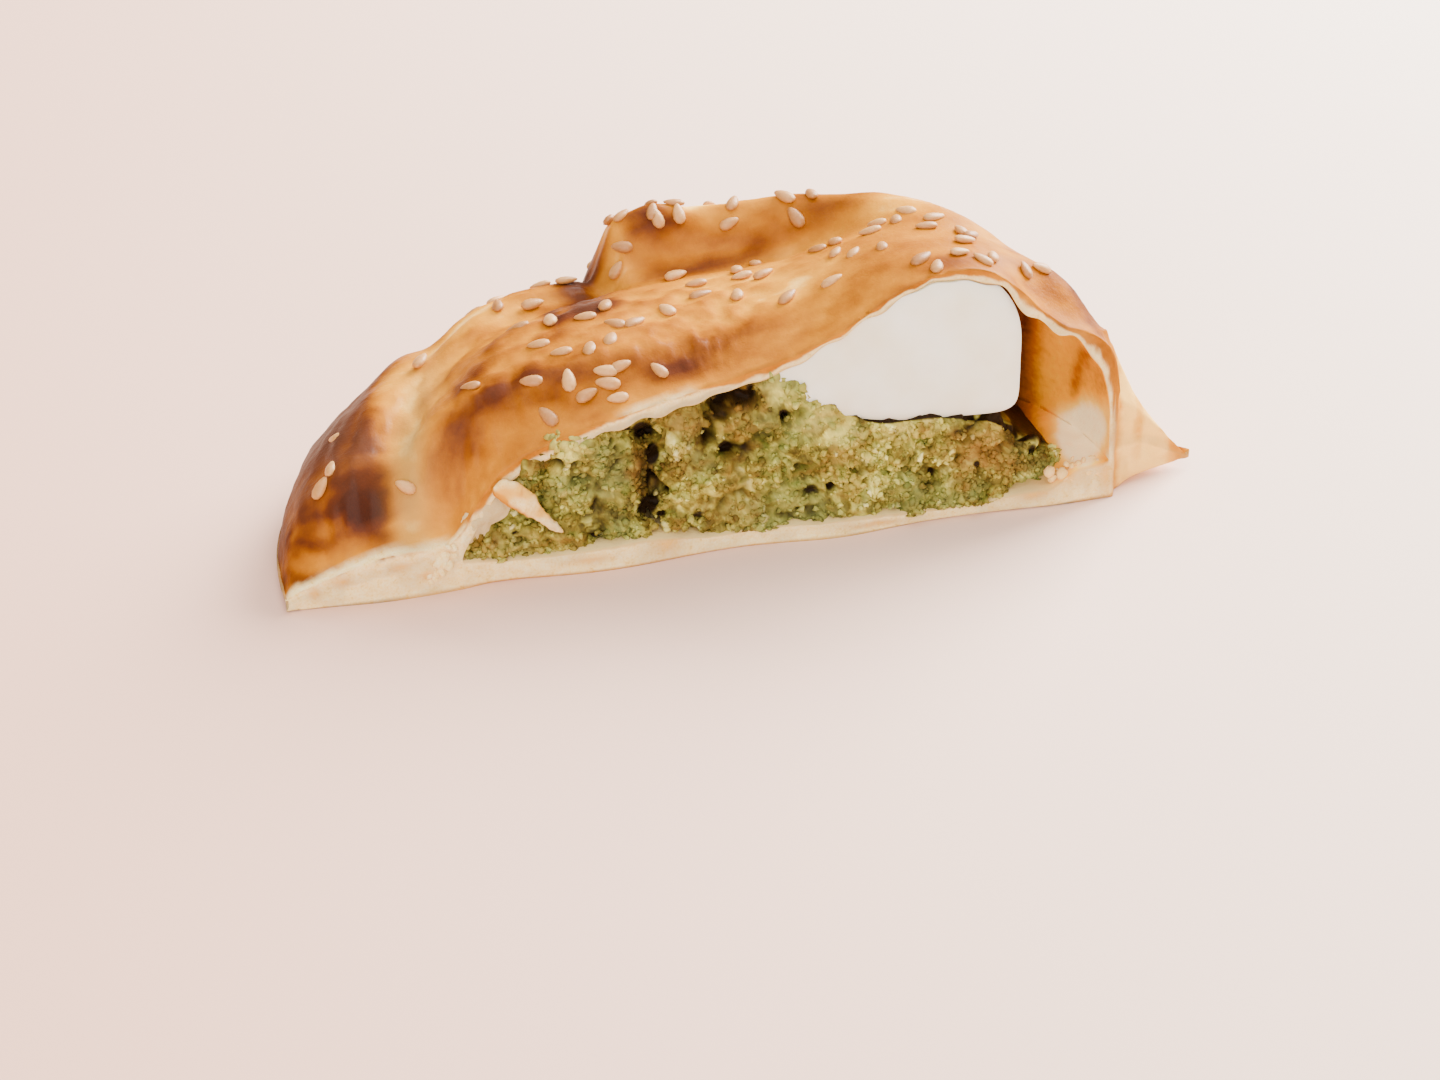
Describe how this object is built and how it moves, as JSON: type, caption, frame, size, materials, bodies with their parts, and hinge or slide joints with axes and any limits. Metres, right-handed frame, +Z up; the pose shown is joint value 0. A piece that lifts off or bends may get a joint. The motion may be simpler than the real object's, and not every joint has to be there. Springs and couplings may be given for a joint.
{
  "type": "falafel pie half",
  "caption": "Half of a baked savoury pie, cut open: a sesame crust with an open pocket that holds falafel and a wedge of boiled egg.",
  "frame": {"origin": "on the plane of the flat base, at the middle of the bounding box", "axes": "+X along the cut face, from the low solid end of the crust to the pinched tip; +Y into the pie, away from the cut face; +Z up"},
  "size_m": [0.119, 0.048, 0.0351],
  "materials": {
    "pastry_crust": "baked, half glossy on the browned top",
    "falafel_left": "moist broken crumb",
    "falafel_right": "moist broken crumb",
    "egg_piece": "smooth and moist"
  },
  "bodies": {
    "root": {"pastry_crust": "pastry_crust", "falafel_left": "falafel_left", "falafel_right": "falafel_right", "egg_piece": "egg_piece"}
  },
  "joints": []
}
